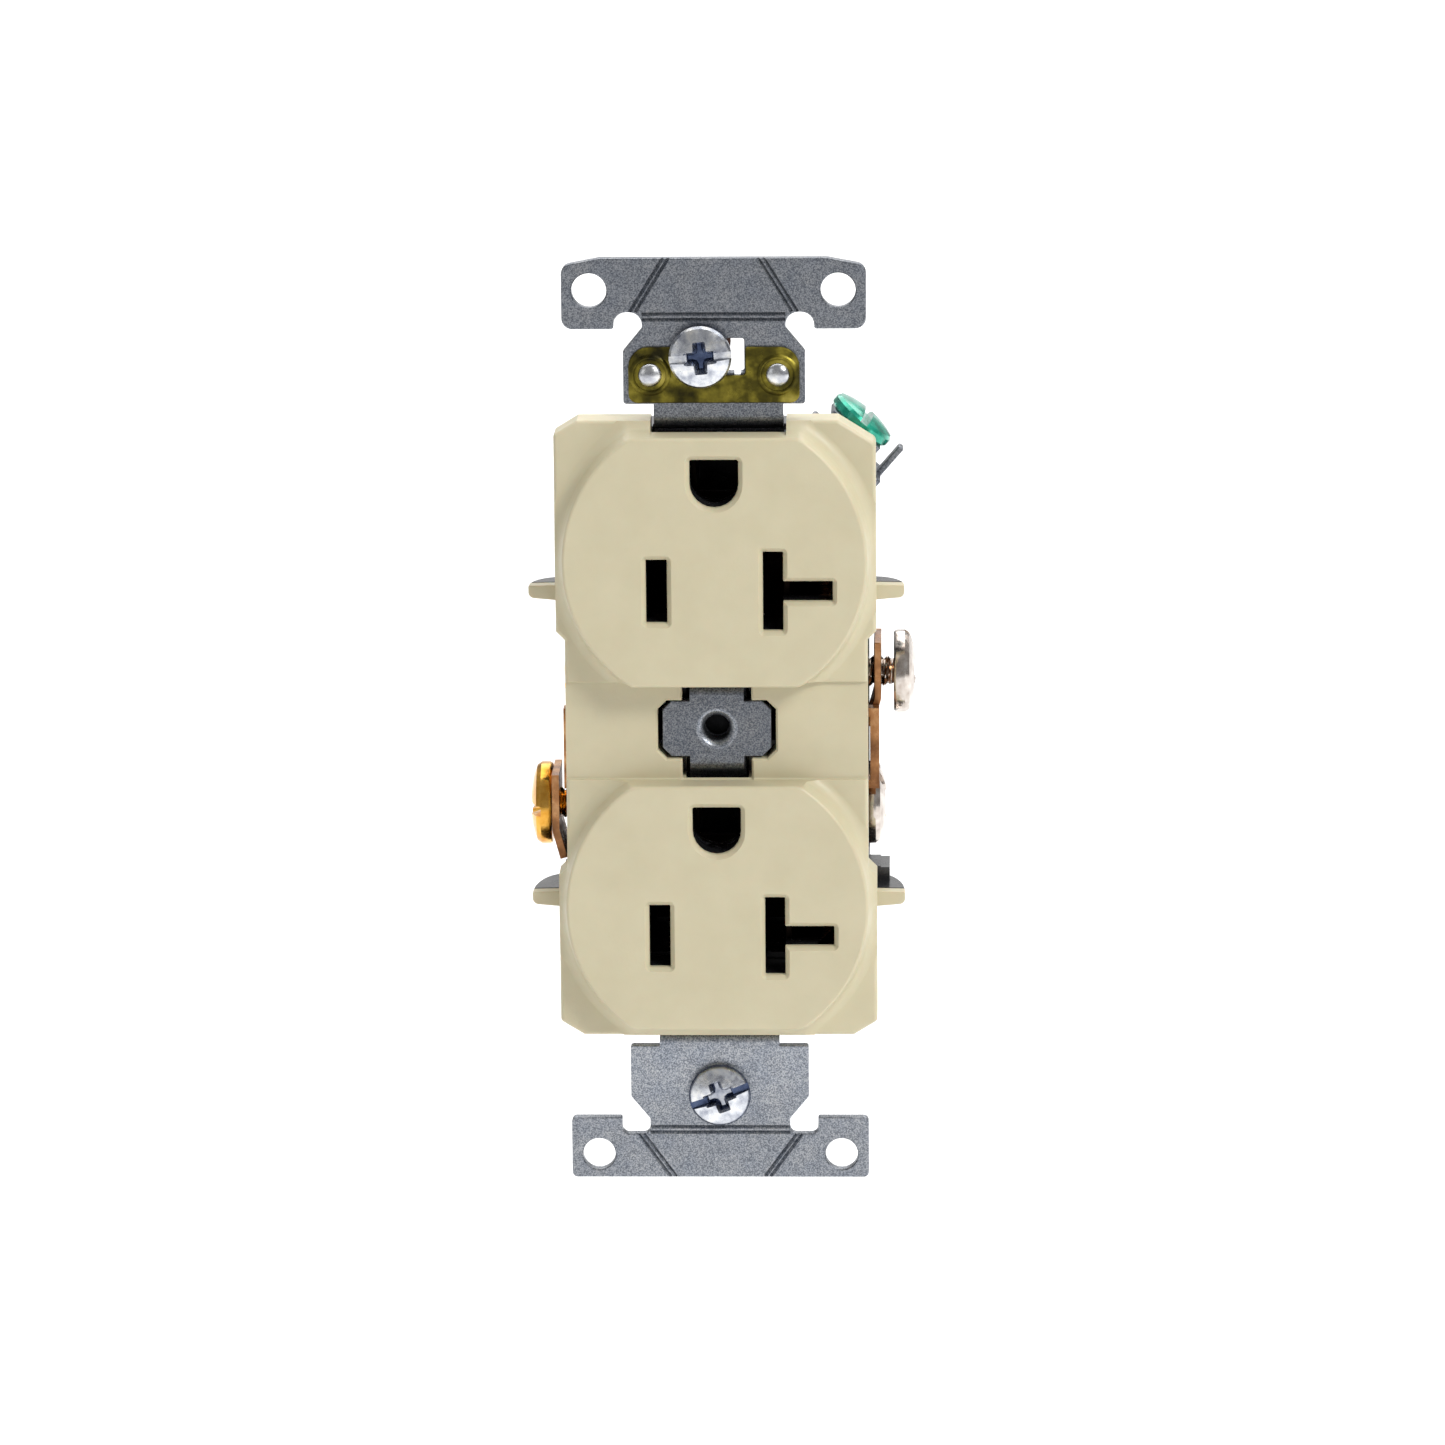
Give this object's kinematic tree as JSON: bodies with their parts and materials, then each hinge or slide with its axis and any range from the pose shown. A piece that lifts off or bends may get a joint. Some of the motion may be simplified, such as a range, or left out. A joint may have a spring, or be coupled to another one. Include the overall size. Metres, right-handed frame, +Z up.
{
  "type": "duplex wall outlet",
  "caption": "Duplex wall outlet with ivory faces, T-shaped neutral slots, a zinc-plated mounting strap with break-off ears and side terminal screws.",
  "frame": {"origin": "centre of the strap's middle hole, on the plane of the ears' backs", "axes": "+X to the neutral side, -Y out of the wall, +Z up"},
  "size_m": [0.043, 0.0302, 0.1037],
  "materials": {
    "ivory_plastic": "satin moulded thermoplastic",
    "black_plastic": "glossy moulded thermoplastic",
    "galvanised_steel": "zinc-plated, fine spangle",
    "clip_brass": "tarnished olive brass",
    "contact_brass": "stamped copper-brown brass",
    "screw_brass": "bright brass",
    "nickel": "nickel-plated",
    "green_plating": "green dyed zinc plating",
    "plated_steel": "bright zinc-plated",
    "fibre": "vulcanised fibre"
  },
  "bodies": {
    "root": {"front_cover": "ivory_plastic", "back_body": "black_plastic", "slot_insert_upper": "black_plastic", "slot_insert_lower": "black_plastic", "mounting_strap": "galvanised_steel", "self_grounding_clip": "clip_brass", "clip_rivet_left": "plated_steel", "clip_rivet_right": "plated_steel", "neutral_contact_strip": "contact_brass", "hot_contact_strip": "contact_brass", "ground_contact_upper": "contact_brass", "ground_contact_lower": "contact_brass", "ground_rivet_upper": "plated_steel", "ground_rivet_lower": "plated_steel", "assembly_screw_upper_left": "plated_steel", "assembly_screw_upper_right": "plated_steel", "assembly_screw_lower_left": "plated_steel", "assembly_screw_lower_right": "plated_steel"},
    "neutral_clamp_upper": {"neutral_clamp_upper": "contact_brass"},
    "neutral_screw_upper": {"neutral_screw_upper": "nickel"},
    "neutral_clamp_lower": {"neutral_clamp_lower": "contact_brass"},
    "neutral_screw_lower": {"neutral_screw_lower": "nickel"},
    "hot_clamp_upper": {"hot_clamp_upper": "contact_brass"},
    "hot_screw_upper": {"hot_screw_upper": "screw_brass"},
    "hot_clamp_lower": {"hot_clamp_lower": "contact_brass"},
    "hot_screw_lower": {"hot_screw_lower": "screw_brass"},
    "ground_clamp": {"ground_clamp": "galvanised_steel"},
    "ground_screw": {"ground_screw": "green_plating"},
    "screw_retainer_upper": {"screw_retainer_upper": "fibre"},
    "mounting_screw_upper": {"mounting_screw_upper": "plated_steel"},
    "screw_retainer_lower": {"screw_retainer_lower": "fibre"},
    "mounting_screw_lower": {"mounting_screw_lower": "plated_steel"}
  },
  "joints": [
    {"name": "neutral_upper_travel", "type": "slide", "parent": "root", "child": "neutral_clamp_upper", "axis": [1, 0, 0], "range_m": [-0.00338, 0.00022]},
    {"name": "neutral_upper_turn", "type": "hinge", "parent": "neutral_clamp_upper", "child": "neutral_screw_upper", "pos_m": [0.01936, 0.0084, 0.00434], "axis": [1, 0, 0], "range_deg": [-1533, 100]},
    {"name": "neutral_lower_travel", "type": "slide", "parent": "root", "child": "neutral_clamp_lower", "axis": [1, 0, 0], "range_m": [-0.00147, 0.00348]},
    {"name": "neutral_lower_turn", "type": "hinge", "parent": "neutral_clamp_lower", "child": "neutral_screw_lower", "pos_m": [0.0161, 0.0084, -0.01066], "axis": [1, 0, 0], "range_deg": [-667, 1579]},
    {"name": "hot_upper_travel", "type": "slide", "parent": "root", "child": "hot_clamp_upper", "axis": [-1, 0, 0], "range_m": [-0.0001, 0.00485]},
    {"name": "hot_upper_turn", "type": "hinge", "parent": "hot_clamp_upper", "child": "hot_screw_upper", "pos_m": [-0.0147, 0.0084, 0.00434], "axis": [-1, 0, 0], "range_deg": [-46, 2200]},
    {"name": "hot_lower_travel", "type": "slide", "parent": "root", "child": "hot_clamp_lower", "axis": [-1, 0, 0], "range_m": [-0.00397, 0.00098]},
    {"name": "hot_lower_turn", "type": "hinge", "parent": "hot_clamp_lower", "child": "hot_screw_lower", "pos_m": [-0.0186, 0.0084, -0.01066], "axis": [-1, 0, 0], "range_deg": [-1801, 445]},
    {"name": "ground_travel", "type": "slide", "parent": "root", "child": "ground_clamp", "axis": [0.6561, 0, 0.7547], "range_m": [-0.00165, 0.0033]},
    {"name": "ground_turn", "type": "hinge", "parent": "ground_clamp", "child": "ground_screw", "pos_m": [0.0162, 0.007, 0.0332], "axis": [0.6561, 0, 0.7547], "range_deg": [-749, 1497]},
    {"name": "mounting_upper_travel", "type": "slide", "parent": "root", "child": "screw_retainer_upper", "axis": [0, -1, 0], "range_m": [0, 0.0067]},
    {"name": "mounting_upper_turn", "type": "hinge", "parent": "screw_retainer_upper", "child": "mounting_screw_upper", "pos_m": [-0.00145, -0.00177, 0.04165], "axis": [0, -1, 0], "range_deg": [0, 3039]},
    {"name": "mounting_lower_travel", "type": "slide", "parent": "root", "child": "screw_retainer_lower", "axis": [0, -1, 0], "range_m": [0, 0.0067]},
    {"name": "mounting_lower_turn", "type": "hinge", "parent": "screw_retainer_lower", "child": "mounting_screw_lower", "pos_m": [0, -0.00132, -0.04165], "axis": [0, -1, 0], "range_deg": [0, 3039]}
  ],
  "couplings": [
    {"joint": "neutral_upper_turn", "follows": "neutral_upper_travel", "rad_per_m": 7915.8},
    {"joint": "neutral_lower_turn", "follows": "neutral_lower_travel", "rad_per_m": 7915.8},
    {"joint": "hot_upper_turn", "follows": "hot_upper_travel", "rad_per_m": 7915.8},
    {"joint": "hot_lower_turn", "follows": "hot_lower_travel", "rad_per_m": 7915.8},
    {"joint": "ground_turn", "follows": "ground_travel", "rad_per_m": 7915.8},
    {"joint": "mounting_upper_turn", "follows": "mounting_upper_travel", "rad_per_m": 7915.8},
    {"joint": "mounting_lower_turn", "follows": "mounting_lower_travel", "rad_per_m": 7915.8}
  ]
}
